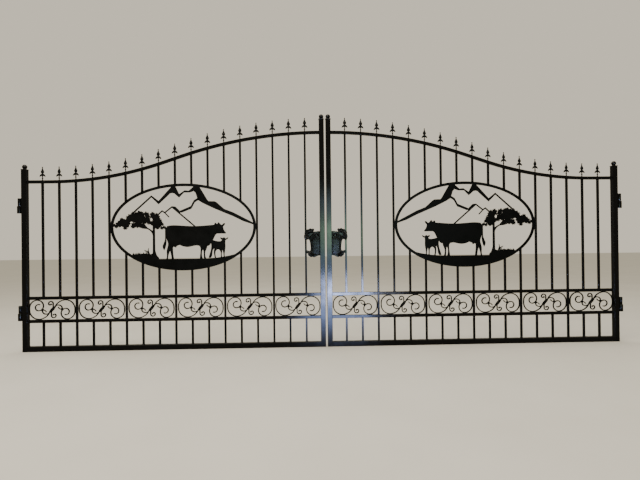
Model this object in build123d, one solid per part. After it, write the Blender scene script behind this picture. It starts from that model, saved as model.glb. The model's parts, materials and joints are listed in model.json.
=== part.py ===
"""A pair of swinging steel driveway gates with an arched top, spear finials, a scroll band
and an oval farm scene cut from plate in each leaf.

Axes: X runs along the closed gate from the left post to the right one, Y points away from
the viewer and Z is up. The origin is in the middle of the flat by which the left lower hinge
is welded to its post. Lengths are in millimetres. Heights named *_height are measured from
the gate's underside.
"""
import math
import os

from build123d import *

# The pair of leaves
pair_width = 6000.0            # over the outer faces of the two hinge stiles
centre_gap = 18.0              # between the two meeting stiles
hinge_stile_height = 1799.0
meeting_stile_height = 2290.0

# Frame tubes
stile_size = 50.0
stile_wall = 2.0
rail_size = 30.0
rail_wall = 1.5
bottom_rail_size = 50.0
bottom_rail_wall = 2.0

# Rails, each by the height of its middle
band_lower_height = 298.0
band_upper_height = 527.0
top_rail_low_height = 1678.0
top_rail_high_height = 2158.0
level_stretch = 225.0          # level part of the top rail next to the hinge stile
sloping_stretch = 220.0        # straight part between the hollow and the crown
hollow_share = 0.44            # the hollow's share of the two radii added up

# Pickets. The first and last bays are this share of a full one, from stile face to middle.
picket_count = 17
picket_size = 20.0
picket_wall = 1.5
first_bay_share = 0.908
last_bay_share = 0.883

# Oval farm scene
oval_first = 5                 # the oval hangs between this picket
oval_last = 14                 # and this one
oval_height = 870.0
oval_middle_height = 1218.0
border_width = 28.0
plate_thickness = 6.0

# Scroll band
pickets_per_panel = 3
scroll_bar = 10.0
scroll_sides = 3.0             # left free at each side of the narrowest bay
collar_length = 80.0
collar_width = 22.0
collar_lean = 47.0             # from level, in degrees

# Barrel hinges: the lower half of each is welded to the post, the upper half to the stile
lower_hinge_height = 378.0     # to the split between the halves
upper_hinge_height = 1440.0
barrel_diameter = 36.0
barrel_length = 73.0           # of each half
barrel_chamfer = 2.5
weld_gap = 5.0                 # between a barrel and the face it is welded to
weld_width = 14.0
pin_diameter = 18.0
pin_clearance = 0.05
pin_seat_depth = 60.0          # of the pin in the lower half
closed_end = 9.0               # over the bore of the upper half
pin_end_gap = 2.0
washer_diameter = 32.0
washer_thickness = 2.5
seat_gap = 0.3                 # between washer and upper half

# Ball caps
cap_overhang = 3.0
cap_thickness = 5.0
cap_chamfer = 3.0
cap_neck_foot = 38.0
cap_neck_top = 30.0
cap_neck_height = 5.0
cap_ball = 47.0

# Spear finials
spear_height = 136.0
spear_stem = 11.0
spear_foot_ball = 16.0
spear_tip_ball = 12.0
spear_bud_width = 32.0
spear_bud_depth = 15.0
spear_barb_reach = 28.0
spear_barb_thickness = 9.0

# Lock plates
lock_plate_foot_height = 897.0
lock_plate_lap = 7.5           # past the outer face of the last picket
lock_plate_thickness = 5.0
lock_field_height = 5.0
lock_rib_radius = 5.0

# Places that follow from the sizes above
leaf_width = (pair_width - centre_gap) / 2
stile_spacing = leaf_width - stile_size
inner_left = stile_size / 2
inner_right = stile_spacing - stile_size / 2
hinge_x = weld_gap + barrel_diameter / 2
stile_face = 2 * hinge_x
stile_x = stile_face + stile_size / 2
leaf_y = (stile_size - barrel_diameter) / 2      # barrels and stiles are flush in front
overall_width = pair_width + 2 * stile_face
split_z = barrel_length / 2
under_z = split_z - lower_hinge_height
upper_hinge_z = upper_hinge_height - lower_hinge_height
picket_pitch = (inner_right - inner_left) / (picket_count - 1 + first_bay_share + last_bay_share)
first_picket = inner_left + first_bay_share * picket_pitch
bottom_rail_top = under_z + bottom_rail_size
band_under = under_z + band_lower_height - rail_size / 2
band_floor = band_under + rail_size
band_ceiling = under_z + band_upper_height - rail_size / 2
band_over = band_ceiling + rail_size
slot_margin = 1.0


def picket_x(number):
    """Middle of a picket, counted from 1 at the hinge side, from the hinge stile's middle."""
    return first_picket + (number - 1) * picket_pitch


def box(x0, x1, depth, z0, z1):
    """Upright block between two places along the gate, centred on the leaf's thickness."""
    return Pos((x0 + x1) / 2, 0, (z0 + z1) / 2) * Box(x1 - x0, depth, z1 - z0)


def upright_tube(x, size, wall, z0, z1):
    outer = box(x - size / 2, x + size / 2, size, z0, z1)
    bore = size / 2 - wall
    return outer - box(x - bore, x + bore, 2 * bore, z0 - slot_margin, z1 + slot_margin)


def level_tube(size, wall, z):
    """Tube from stile to stile."""
    bore = size / 2 - wall
    outer = box(inner_left, inner_right, size, z - size / 2, z + size / 2)
    hollow = box(inner_left - slot_margin, inner_right + slot_margin, 2 * bore, z - bore, z + bore)
    return outer - hollow


def face_to_solid(face, thickness, y=0.0):
    """Stand a flat shape, drawn in X and Z, upright and give it a thickness about y."""
    upright = Plane.XZ * face
    return Pos(0, y, 0) * extrude(upright, amount=thickness / 2, both=True)


def outline(start, *runs):
    """Closed shape from a start point and runs of points. A run of one point is a straight
    line, a longer one a smooth curve, and the last run leads back to the start."""
    edges = []
    last = start
    for run in runs:
        points = [last] + list(run)
        edges.append(Line(*points) if len(points) == 2 else Spline(*points))
        last = points[-1]
    return make_face(edges)


# The top rail leaves the hinge stile level, dips into a hollow, climbs straight and turns over
# a crown to meet the other stile level. Both bends share one turning angle.
low_z = under_z + top_rail_low_height
high_z = under_z + top_rail_high_height
bend_start = inner_left + level_stretch
bend_run = stile_spacing - bend_start
bend_rise = high_z - low_z
bend_angle = 2 * math.atan(bend_rise / (bend_run + sloping_stretch))
both_radii = (bend_run - sloping_stretch * math.cos(bend_angle)) / math.sin(bend_angle)
hollow_radius = hollow_share * both_radii
crown_radius = both_radii - hollow_radius


def rail_edge(lift):
    """Edges of a line that runs along the top rail, this far above its middle."""
    start = (0, low_z + lift)
    level_end = (bend_start, low_z + lift)
    hollow = JernArc(level_end, (1, 0), hollow_radius - lift, math.degrees(bend_angle))
    slope_end = hollow @ 1 + (hollow % 1) * sloping_stretch
    crown = JernArc(slope_end, hollow % 1, crown_radius + lift, -math.degrees(bend_angle))
    return [Line(start, level_end), hollow, Line(hollow @ 1, slope_end), crown]


def rail_strip(low_lift, high_lift):
    """Flat strip between two lines along the top rail."""
    lower = rail_edge(low_lift)
    upper = rail_edge(high_lift)
    ends = [Line(lower[0] @ 0, upper[0] @ 0), Line(lower[-1] @ 1, upper[-1] @ 1)]
    return make_face(lower + upper + ends)


def rail_height_at(x):
    """Height of the top rail's middle at a distance from the hinge stile's middle."""
    run = x - bend_start
    hollow_run = hollow_radius * math.sin(bend_angle)
    slope_run = sloping_stretch * math.cos(bend_angle)
    if run <= 0:
        return low_z
    if run <= hollow_run:
        return low_z + hollow_radius - math.sqrt(hollow_radius ** 2 - run ** 2)
    if run <= hollow_run + slope_run:
        hollow_rise = hollow_radius * (1 - math.cos(bend_angle))
        return low_z + hollow_rise + (run - hollow_run) * math.tan(bend_angle)
    return high_z - crown_radius + math.sqrt(crown_radius ** 2 - (bend_run - run) ** 2)


def top_rail():
    half = rail_size / 2
    bore = half - rail_wall
    strip = face_to_solid(rail_strip(-half, half), rail_size)
    strip -= face_to_solid(rail_strip(-bore, bore), 2 * bore)
    return strip & box(inner_left, inner_right, stile_size, under_z, high_z + rail_size)


# Everything above the underside of the top rail, for cutting the pickets to its curve, and
# everything under its upper face, for seating the finials on it.
above_rail = face_to_solid(rail_strip(-rail_size / 2, 2 * rail_size), stile_size)
under_rail_top = face_to_solid(rail_strip(-2 * rail_size, rail_size / 2), stile_size)

# The oval just fills the room between its two neighbour pickets.
oval_left = picket_x(oval_first) + picket_size / 2
oval_right = picket_x(oval_last) - picket_size / 2
oval_x = (oval_left + oval_right) / 2
oval_z = under_z + oval_middle_height
oval_half_width = (oval_right - oval_left) / 2
oval_half_height = oval_height / 2
oval_block = face_to_solid(Pos(oval_x, oval_z) * Ellipse(oval_half_width, oval_half_height),
                           stile_size)
oval_numbers = range(oval_first + 1, oval_last)
divider_numbers = range(pickets_per_panel, picket_count + 1, pickets_per_panel)


def picket(number, z0, z1):
    return upright_tube(picket_x(number), picket_size, picket_wall, z0, z1)


def picket_to_rail(number, z0):
    """Picket from a height up to the top rail, cut to its curve."""
    top = rail_height_at(picket_x(number)) + rail_size / 2
    return picket(number, z0, top) - above_rail


def long_pickets(numbers):
    return [picket_to_rail(n, band_over) for n in numbers]


def upper_oval_pickets():
    return [picket_to_rail(n, oval_z) - oval_block for n in oval_numbers]


def lower_oval_pickets():
    return [picket(n, band_over, oval_z) - oval_block for n in oval_numbers]


def band_dividers():
    return [picket(n, band_floor, band_ceiling) for n in divider_numbers]


def kick_pickets():
    return [picket(n, bottom_rail_top, band_under) for n in range(1, picket_count + 1)]


# The farm scene is drawn about the middle of an oval of this half width and half height, and
# stretched to the oval that the pickets leave. The cattle face +X.
drawn_half_width = 721.0
drawn_half_height = 435.0
ground_level = -318.0
hoof_sink = 6.0                # feet reach this far into the ground, so that they join it


def fitted(points):
    across = oval_half_width / drawn_half_width
    up = oval_half_height / drawn_half_height
    return [(x * across, z * up) for x, z in points]


def figure(start, *runs):
    return outline(fitted([start])[0], *[fitted(run) for run in runs])


def crag(*points):
    return make_face(Polyline(*fitted(points), close=True))


def ridge(points, width):
    """Crooked bar with rounded joints along a few points."""
    points = fitted(points)
    strip = Sketch()
    for start, end in zip(points, points[1:]):
        length = math.dist(start, end)
        angle = math.degrees(math.atan2(end[1] - start[1], end[0] - start[0]))
        middle = ((start[0] + end[0]) / 2, (start[1] + end[1]) / 2)
        strip += Pos(*middle) * Rot(0, 0, angle) * SlotCenterToCenter(length, width)
    return strip


def ground():
    """Rising edge on the right, and on the left a mound with tufts round the tree's foot."""
    low = -drawn_half_height
    soil = figure(
        (-620, -274),
        [(-510, -274)],
        [(-470, -268), (-430, -264), (-380, -260), (-340, -268), (-304, -258)],
        [(-284, -258)],
        [(-270, -284), (-252, -298), (-246, ground_level)],
        [(226, ground_level)],
        [(310, -312), (400, -300), (490, -282), (570, -246)],
        [(620, -246)],
        [(620, low)],
        [(-620, low)],
        [(-620, -274)],
    )
    blades = [((-484, -280), (-477, -256)), ((-452, -276), (-446, -253)),
              ((-436, -276), (-447, -250)), ((-404, -272), (-398, -248)),
              ((-350, -280), (-386, -236)), ((-340, -276), (-352, -222))]
    for (foot_x, foot_z), tip in blades:
        soil += crag((foot_x - 8, foot_z), tip, (foot_x + 8, foot_z))
    return soil


def mountains():
    far_range = crag((-532, 124), (-316, 318), (-246, 262), (-112, 410), (-80, 410), (-41, 329),
                     (14, 366), (54, 362), (112, 412), (150, 412), (100, 356), (64, 344),
                     (6, 344), (-42, 294), (-66, 314), (-90, 336), (-116, 340), (-134, 334),
                     (-151, 316), (-246, 228), (-316, 298), (-522, 112))
    spur = crag((-40, 160), (54, 199), (74, 209), (89, 239), (104, 266), (124, 279), (140, 288),
                (150, 268), (126, 254), (112, 244), (99, 219), (89, 199), (76, 179), (54, 172),
                (-20, 142))
    shoulder = crag((98, 410), (156, 408), (194, 344), (236, 272), (248, 256), (312, 254),
                    (330, 244), (404, 177), (494, 142), (684, 42), (706, 30), (704, 14),
                    (594, 52), (494, 102), (394, 144), (294, 187), (194, 236), (146, 266),
                    (138, 286), (122, 339), (106, 354))
    near_range = ridge([(-270, 108), (-211, 162), (-186, 144), (-114, 201)], 13)
    near_range += ridge([(-114, 201), (110, 6)], 14)
    near_snow = crag((-112, 208), (-80, 204), (-38, 163), (-46, 146), (-104, 192))
    gully = ridge([(-186, 144), (-146, 102)], 11)
    return far_range + spur + shoulder + near_range + near_snow + gully


def foliage():
    """Clumps of leaves: each clump is a round star with a point for each leaf at its rim."""
    clumps = [(-664, 14, 20), (-632, 30, 27), (-600, 46, 38), (-572, 2, 22), (-560, 48, 36),
              (-520, 76, 42), (-498, 16, 26), (-470, 96, 48), (-428, 110, 50), (-448, 34, 36),
              (-388, 66, 34), (-362, 116, 27), (-336, 64, 30), (-316, 112, 26), (-282, 82, 38),
              (-262, 16, 34), (-226, 42, 20), (-208, 24, 12), (-216, -8, 17), (-186, -6, 15)]
    gaps = [(-515, 49, 15, 8, 0), (-520, 26, 9, 6, 0), (-425, 54, 7, 12, 25),
            (-318, 74, 12, 19, 15), (-260, 38, 6, 15, -15), (-560, 0, 15, 6, 0),
            (-378, 108, 5, 14, 35), (-334, 122, 4, 16, 20)]
    leaf_pitch = 16.0
    leaf_length = 9.0
    stars = []
    for x, z, radius in clumps:
        leaves = round(2 * math.pi * radius / leaf_pitch)
        rim = []
        for corner in range(2 * leaves):
            reach = radius + leaf_length * (0.5 if corner % 2 else -0.5)
            angle = math.pi * corner / leaves + x
            rim.append((x + reach * math.cos(angle), z + reach * math.sin(angle)))
        stars.append(crag(*rim))
    crown = Sketch() + stars
    holes = [crag((-307, -6), (-307, -44), (-340, -18), (-358, 0), (-388, 38), (-362, 24),
                  (-334, 9))]
    for x, z, half_width, half_height, lean in gaps:
        (middle_x, middle_z), = fitted([(x, z)])
        holes.append(Pos(middle_x, middle_z) * Rot(0, 0, lean) * Ellipse(half_width, half_height))
    return crown - holes


def trunk():
    return figure(
        (-246, -322),
        [(-256, -298), (-274, -272), (-282, -236)],
        [(-284, 24)],
        [(-306, 24)],
        [(-306, -46)],
        [(-340, -20), (-390, 40)],
        [(-420, 40)],
        [(-428, -4)],
        [(-396, -14), (-360, -19), (-333, -34), (-312, -62), (-303, -110)],
        [(-303, -244)],
        [(-310, -260), (-346, -284)],
        [(-246, -322)],
    )


def cow():
    foot = ground_level - hoof_sink
    return figure(
        (-172, -6),
        [(-160, 12)],
        [(-120, 17), (0, 12), (110, 7), (200, 11), (303, 19)],
        [(311, 40)],
        [(320, 38)],
        [(328, 28)],
        [(338, 31)],
        [(346, 44), (360, 31), (388, 23)],
        [(402, 34), (413, 31)],
        [(407, 17), (393, 2)],
        [(398, -28), (415, -55)],
        [(421, -64), (412, -71)],
        [(370, -70), (328, -71)],
        [(314, -86), (300, -114), (286, -139)],
        [(270, -158)],
        [(259, -182), (247, -191)],
        [(232, -194)],
        [(228, -214), (214, -248), (211, -275), (224, foot)],
        [(203, foot)],
        [(197, -284), (196, -250), (189, -227)],
        [(180, -250), (179, -284), (188, foot)],
        [(158, foot)],
        [(163, -272), (166, -238), (164, -208), (156, -192)],
        [(104, -189), (52, -200), (0, -196), (-41, -179)],
        [(-72, -192)],
        [(-80, -205), (-96, -198), (-108, -210)],
        [(-107, -246), (-104, -280), (-98, foot)],
        [(-121, foot)],
        [(-126, -280), (-137, -236)],
        [(-150, -272), (-158, foot)],
        [(-176, foot)],
        [(-168, -276), (-169, -236), (-159, -196), (-155, -166), (-163, -138), (-172, -112)],
        [(-180, -140), (-181, -175), (-187, -208), (-194, -234)],
        [(-204, -214), (-209, -192), (-197, -160), (-187, -130), (-184, -100)],
        [(-184, -18)],
        [(-172, -6)],
    )


def calf():
    foot = ground_level + hoof_sink
    return figure(
        (272, -130),
        [(304, -139), (344, -147), (368, -146)],
        [(380, -134)],
        [(366, -122), (360, -111)],
        [(369, -109), (385, -118)],
        [(394, -109), (404, -109), (412, -119)],
        [(424, -117), (433, -109)],
        [(443, -110)],
        [(436, -124), (416, -133)],
        [(413, -160), (414, -205), (409, -240), (405, -268), (408, foot)],
        [(394, foot)],
        [(392, -266), (384, -234)],
        [(377, -266), (380, foot)],
        [(367, foot)],
        [(367, -276), (358, -240), (341, -228), (323, -236), (313, -262), (320, foot)],
        [(306, foot)],
        [(300, -278), (298, -246), (305, -217)],
        [(291, -230), (283, -262), (266, foot)],
        [(245, foot)],
        [(256, -275), (268, -236), (273, -190), (268, -158)],
        [(272, -130)],
    )


def farm_scene_plate():
    """One plate with the oval border, cut through around the scene."""
    oval = Ellipse(oval_half_width, oval_half_height)
    border = oval - Ellipse(oval_half_width - border_width, oval_half_height - border_width)
    scene = mountains() + foliage() + trunk() + cow() + calf() + ground()
    return face_to_solid(Pos(oval_x, oval_z) * (border + (scene & oval)), plate_thickness)


# Each scroll is half a panel and the same half turned round. The bars are bent from one end
# to the other: a bend is a radius and a turn in degrees, to the right when negative.
def bent_bar(start, heading, bends):
    made = Sketch()
    point = Vector(*start)
    direction = Vector(math.cos(math.radians(heading)), math.sin(math.radians(heading)))
    for radius, turn in bends:
        step = JernArc(point, direction, radius, turn)
        made += trace(step, scroll_bar)
        point = step @ 1
        direction = step % 1
    return made


def straight_bar(start, end):
    return trace(Line(start, end), scroll_bar)


starts = [inner_left] + [picket_x(n) + picket_size / 2 for n in divider_numbers]
ends = [picket_x(n) - picket_size / 2 for n in divider_numbers] + [inner_right]
panel_width = min(b - a for a, b in zip(starts, ends)) - 2 * scroll_sides
panel_height = band_ceiling - band_floor


def scroll_half():
    """Left half of a scroll: the volute, its leaf, the stem and the upper tendril."""
    reach = (panel_width - scroll_bar) / 2
    rise = (panel_height - scroll_bar) / 2
    bowl = rise * 0.95
    shoulder = rise * 0.82
    back = rise * 0.61
    curl = rise * 0.33
    left_x = -reach
    foot_x = left_x + bowl
    crown_x = left_x + shoulder
    back_x = crown_x + back
    side_low = (left_x, bowl - rise)
    side_high = (left_x, rise - shoulder)
    volute = bent_bar((foot_x, -rise), 180, [(bowl, -90)]) + straight_bar(side_low, side_high)
    volute += bent_bar(side_high, 90, [
        (shoulder, -90), (back, -90), (rise * 0.5, -90), (curl, -90), (curl, -115)])
    # The lead runs level off the foot of the volute and rises into the end of the collar.
    lean = math.radians(collar_lean)
    collar_end = collar_length / 2
    end_x = -collar_end * math.cos(lean)
    end_rise = rise - collar_end * math.sin(lean)
    lead_run = end_x - foot_x
    lead_radius = (lead_run ** 2 + end_rise ** 2) / (2 * end_rise)
    lead_turn = math.degrees(math.asin(lead_run / lead_radius))
    volute += bent_bar((foot_x, -rise), 0, [(lead_radius, lead_turn)])
    # The stem leaves the collar, swings under the leaf and climbs to the back of the volute.
    joint = (back_x - scroll_bar * 0.9, -scroll_bar * 0.2)
    stem_start = (end_x * 0.6, -collar_end * math.sin(lean) * 0.6)
    stem_low = ((joint[0] + stem_start[0]) / 2, -rise * 0.47)
    stem = trace(Spline(stem_start, stem_low, joint,
                        tangents=[(-math.cos(lean), -math.sin(lean)), (0.2, 1)]), scroll_bar)
    knot = Pos(*joint) * Circle(scroll_bar * 0.95)
    leaf_tip = (joint[0] + 36, joint[1] - 20)
    leaf_bend = (joint[0] + 18, joint[1] - 3)
    leaf = trace(Spline(joint, leaf_bend, leaf_tip), scroll_bar * 0.8)
    leaf += Pos(*leaf_tip) * Circle(scroll_bar * 0.4)
    tendril_x = 9.0
    tendril_top = rise * 0.62
    tendril = straight_bar((tendril_x, 10), (tendril_x, tendril_top))
    tendril += bent_bar((tendril_x, tendril_top), 90, [(rise * 0.235, 180), (rise * 0.14, 150)])
    eye_x = tendril_x - rise * 0.33 + rise * 0.12
    tendril += Pos(eye_x, tendril_top - rise * 0.07) * Circle(scroll_bar * 0.75)
    return volute + stem + knot + leaf + tendril


def scroll_panels():
    half = scroll_half()
    collar = Rot(0, 0, collar_lean) * SlotOverall(collar_length, collar_width)
    panel = face_to_solid(half + Rot(0, 0, 180) * half + collar, scroll_bar)
    middle_z = (band_floor + band_ceiling) / 2
    return [Pos((a + b) / 2, 0, middle_z) * panel for a, b in zip(starts, ends)]


def diamond(width, depth, z):
    """Four-cornered section of a spear's bud."""
    corners = Polyline((width / 2, 0), (0, depth / 2), (-width / 2, 0), (0, -depth / 2), close=True)
    return Pos(0, 0, z) * make_face(corners)


def spear():
    """Cast spear: ball foot, two drooping barbs, a four-sided bud and a ball tip."""
    stem = spear_stem / 2
    tip_z = spear_height - spear_tip_ball / 2
    foot_ball_z = spear_height * 0.17
    barb_z = spear_height * 0.49
    bud_z = spear_height * 0.625
    neck_z = spear_height * 0.85
    shaft = Pos(0, 0, (barb_z - slot_margin) / 2) * Cylinder(stem, barb_z + slot_margin)
    neck = Pos(0, 0, (neck_z + tip_z) / 2) * Cylinder(stem * 0.6, tip_z - neck_z)
    foot_ball = Pos(0, 0, foot_ball_z) * Sphere(spear_foot_ball / 2)
    tip_ball = Pos(0, 0, tip_z) * Sphere(spear_tip_ball / 2)
    low = diamond(spear_stem, spear_stem, barb_z - stem)
    wide = diamond(spear_bud_width, spear_bud_depth, bud_z)
    high = diamond(spear_stem * 0.8, spear_stem * 0.8, neck_z + stem)
    bud = loft([low, wide], ruled=True) + loft([wide, high], ruled=True)
    reach = spear_barb_reach
    barb = outline((0, barb_z + 2), [(reach * 0.4, barb_z - 5), (reach, barb_z - 28)],
                   [(reach * 0.82, barb_z - 28)],
                   [(reach * 0.5, barb_z - 20), (0, barb_z - 22)], [(0, barb_z + 2)])
    barbs = face_to_solid(barb + mirror(barb, Plane.YZ), spear_barb_thickness)
    return shaft + foot_ball + barbs + bud + neck + tip_ball


def spear_finials():
    made = []
    one_spear = spear()
    for number in range(1, picket_count + 1):
        x = picket_x(number)
        top = rail_height_at(x) + rail_size / 2
        made.append(Pos(x, 0, top) * one_spear - under_rail_top)
    return made


def stile_cap(x, height):
    """Pressed square cap with a flared neck and a ball."""
    side = stile_size + 2 * cap_overhang
    top = under_z + height
    plate = Pos(x, 0, top + cap_thickness / 2) * Box(side, side, cap_thickness)
    plate = chamfer(plate.faces().sort_by(Axis.Z)[-1].edges(), cap_chamfer)
    neck_z = top + cap_thickness + cap_neck_height / 2
    neck = Pos(x, 0, neck_z) * Cone(cap_neck_foot / 2, cap_neck_top / 2, cap_neck_height)
    ball_radius = cap_ball / 2
    sink = ball_radius - math.sqrt(ball_radius ** 2 - (cap_neck_top / 2) ** 2)
    ball_z = top + cap_thickness + cap_neck_height + ball_radius - sink
    return plate + neck + Pos(x, 0, ball_z) * Sphere(ball_radius)


# A lock plate is drawn from the meeting stile's inner face (x = 0) outwards, and from its foot
# up. It is stretched to reach just past the last picket, in front of which it lies.
lock_drawn_width = 161.0
lock_plate_width = inner_right - picket_x(picket_count) + picket_size / 2 + lock_plate_lap


def lock_points(points):
    across = lock_plate_width / lock_drawn_width
    return [(x * across, z) for x, z in points]


def lock_shape(start, *runs):
    return outline(lock_points([start])[0], *[lock_points(run) for run in runs])


def lock_outline():
    """Leafy crest, narrow waist towards the last picket and a scalloped foot."""
    return lock_shape(
        (0, 18),
        [(0, 262)],
        [(-16, 266), (-36, 262), (-52, 255), (-63, 257)],
        [(-61, 269), (-56, 281)],
        [(-67, 291), (-82, 287)],
        [(-98, 294), (-112, 285)],
        [(-127, 283), (-141, 270)],
        [(-154, 256), (-155, 234)],
        [(-161, 214), (-157, 192)],
        [(-150, 177), (-136, 175)],
        [(-122, 181), (-110, 180)],
        [(-97, 158), (-89, 128), (-88, 100), (-97, 72)],
        [(-110, 66)],
        [(-138, 69), (-143, 54)],
        [(-134, 42), (-122, 41)],
        [(-121, 22), (-106, 13)],
        [(-92, 4), (-77, 8)],
        [(-62, 2), (-46, 7)],
        [(-30, 14), (0, 18)],
    )


def lock_field():
    """Raised smooth field of the plate, below the crest."""
    return lock_shape((-6, 36), [(-6, 186)], [(-34, 184), (-66, 172)],
                      [(-79, 140), (-78, 100), (-86, 66)], [(-98, 44)], [(-50, 30), (-6, 36)])


def lock_rib(start, end):
    """Half-round rib on the front of the plate, with round ends."""
    (x0, z0), (x1, z1) = lock_points([start, end])
    length = math.dist((x0, z0), (x1, z1))
    angle = math.degrees(math.atan2(z1 - z0, x1 - x0))
    bar = Rot(0, 90, 0) * Cylinder(lock_rib_radius, length)
    bar += Pos(length / 2, 0, 0) * Sphere(lock_rib_radius)
    bar += Pos(-length / 2, 0, 0) * Sphere(lock_rib_radius)
    return Pos((x0 + x1) / 2, 0, (z0 + z1) / 2) * Rot(0, -angle, 0) * bar


def lock_plate():
    """Cast plate with a raised field, a ring for a curled leaf, crest leaves and foot ribs."""
    whole = face_to_solid(lock_outline(), lock_plate_thickness)
    for share, height in [(1, lock_field_height / 2), (0.88, lock_field_height)]:
        step = scale(lock_field(), by=share)
        middle = lock_field().center() - step.center()
        whole += face_to_solid(Pos(middle) * step, lock_plate_thickness + 2 * height)
    (ring_x, ring_z), = lock_points([(-34, 221)])
    ring_radius = 24.0
    whole += Pos(ring_x, 0, ring_z) * Rot(90, 0, 0) * Torus(ring_radius, lock_rib_radius)
    whole += Pos(ring_x, 0, ring_z) * Sphere(lock_rib_radius * 1.8)
    crest_root = (-92, 222)
    crest_tips = [(-66, 278), (-97, 280), (-127, 268), (-144, 242), (-149, 208)]
    crest_share = 0.35
    for tip in crest_tips:
        start = (crest_root[0] + crest_share * (tip[0] - crest_root[0]),
                 crest_root[1] + crest_share * (tip[1] - crest_root[1]))
        whole += lock_rib(start, tip)
    for foot in [(-126, 55), (-110, 26), (-92, 16), (-62, 14)]:
        whole += lock_rib((-70, 58), foot)
    # The back is flat, and lies against the last picket and beside the stile.
    room = 2 * lock_plate_width
    whole &= Pos(0, (lock_plate_thickness - room) / 2, 0) * Box(2 * room, room, 4 * room)
    centre_y = -(picket_size + lock_plate_thickness) / 2
    return Pos(inner_right, centre_y, under_z + lock_plate_foot_height) * whole


# Hinges, with the pin's axis at hinge_x. The pin is seated in the lower half, and the upper
# half turns round it on a thrust washer.
def barrel(z0, z1):
    """Barrel with chamfered ends."""
    whole = Pos(hinge_x, 0, (z0 + z1) / 2) * Cylinder(barrel_diameter / 2, z1 - z0)
    ends_edges = whole.edges().filter_by(GeomType.CIRCLE)
    return chamfer(ends_edges, barrel_chamfer)


def pin_bore(z0, z1):
    radius = pin_diameter / 2 + pin_clearance
    return Pos(hinge_x, 0, (z0 + z1) / 2) * Cylinder(radius, z1 - z0)


upper_half_foot = split_z + washer_thickness + seat_gap
upper_half_top = upper_half_foot + barrel_length
pin_foot = split_z - pin_seat_depth
pin_top = upper_half_top - closed_end - pin_end_gap


def post_bracket(z):
    """Lower half of a hinge, with the flat that is welded to the post."""
    foot = split_z - barrel_length
    flat = box(0, hinge_x, weld_width, foot, split_z)
    half = barrel(foot, split_z) + flat - pin_bore(pin_foot, split_z + slot_margin)
    return Pos(0, 0, z) * half


def hinge_knuckle(z):
    """Upper half of a hinge, with the flat that is welded to the stile."""
    flat = box(hinge_x, stile_face, weld_width, upper_half_foot, upper_half_top)
    bore = pin_bore(upper_half_foot - slot_margin, upper_half_top - closed_end)
    return Pos(0, 0, z) * (barrel(upper_half_foot, upper_half_top) + flat - bore)


def hinge_pin(z):
    shank = Pos(hinge_x, 0, (pin_foot + pin_top) / 2) * Cylinder(pin_diameter / 2, pin_top - pin_foot)
    return Pos(0, 0, z) * chamfer(shank.edges().filter_by(GeomType.CIRCLE), slot_margin)


def hinge_washer(z):
    disc = Pos(hinge_x, 0, split_z + washer_thickness / 2) * Cylinder(
        washer_diameter / 2, washer_thickness)
    return Pos(0, 0, z) * (disc - pin_bore(split_z - slot_margin, upper_half_foot))


def leaf_nodes():
    """Pieces of the left leaf, by name, placed from the hinge stile's middle."""
    rails = {
        "bottom_rail": (bottom_rail_size, bottom_rail_wall, bottom_rail_size / 2),
        "band_lower_rail": (rail_size, rail_wall, band_lower_height),
        "band_upper_rail": (rail_size, rail_wall, band_upper_height),
    }
    nodes = {name: [level_tube(size, wall, under_z + height)]
             for name, (size, wall, height) in rails.items()}
    stiles = {
        "hinge_stile": (0, hinge_stile_height),
        "meeting_stile": (stile_spacing, meeting_stile_height),
    }
    for name, (x, height) in stiles.items():
        nodes[name] = [upright_tube(x, stile_size, stile_wall, under_z, under_z + height)]
    nodes["stile_caps"] = [stile_cap(x, height) for x, height in stiles.values()]
    nodes["top_rail"] = [top_rail()]
    nodes["outer_pickets"] = long_pickets(range(1, oval_first + 1))
    nodes["inner_pickets"] = long_pickets(range(oval_last, picket_count + 1))
    nodes["upper_oval_pickets"] = upper_oval_pickets()
    nodes["lower_oval_pickets"] = lower_oval_pickets()
    nodes["band_dividers"] = band_dividers()
    nodes["kick_pickets"] = kick_pickets()
    nodes["scroll_panels"] = scroll_panels()
    nodes["spear_finials"] = spear_finials()
    nodes["farm_scene_plate"] = [farm_scene_plate()]
    nodes["lock_plate"] = [lock_plate()]
    return nodes


def write(name, solids):
    whole = solids[0] if len(solids) == 1 else Compound(solids)
    export_step(whole, "parts/" + name + ".step")


os.makedirs("parts", exist_ok=True)
middle_plane = Plane.YZ.offset(overall_width / 2)

for name, solids in leaf_nodes().items():
    left = [Pos(stile_x, leaf_y, 0) * solid for solid in solids]
    if name == "scroll_panels":
        # The scrolls lean the same way on both leaves, so they are shifted and not mirrored.
        shift = overall_width - 2 * stile_x - stile_spacing
        right = [Pos(shift, 0, 0) * solid for solid in left]
    else:
        right = [mirror(solid, middle_plane) for solid in left]
    write("left_" + name, left)
    write("right_" + name, right)

hinge_nodes = {
    "lower_post_bracket": [post_bracket(0)],
    "upper_post_bracket": [post_bracket(upper_hinge_z)],
    "hinge_pins": [hinge_pin(z) for z in (0, upper_hinge_z)],
    "hinge_washers": [hinge_washer(z) for z in (0, upper_hinge_z)],
    "hinge_knuckles": [hinge_knuckle(z) for z in (0, upper_hinge_z)],
}
for name, solids in hinge_nodes.items():
    write("left_" + name, solids)
    write("right_" + name, [mirror(solid, middle_plane) for solid in solids])
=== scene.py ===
# %% [markdown]
# # A pair of steel driveway gates
# The real pair is made of square steel tube, bent bar, castings and one cut plate in each leaf,
# all welded together and powder coated black. The solids come from CAD, with their real sizes.
# Blender adds what CAD leaves out: rounded tube edges, weld beads, finer castings and the paint.

# %% Load the solids
import json
import math

import bmesh
import bpy
from mathutils import Matrix, Vector
from mathutils.geometry import delaunay_2d_cdt
from mathutils.kdtree import KDTree


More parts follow.
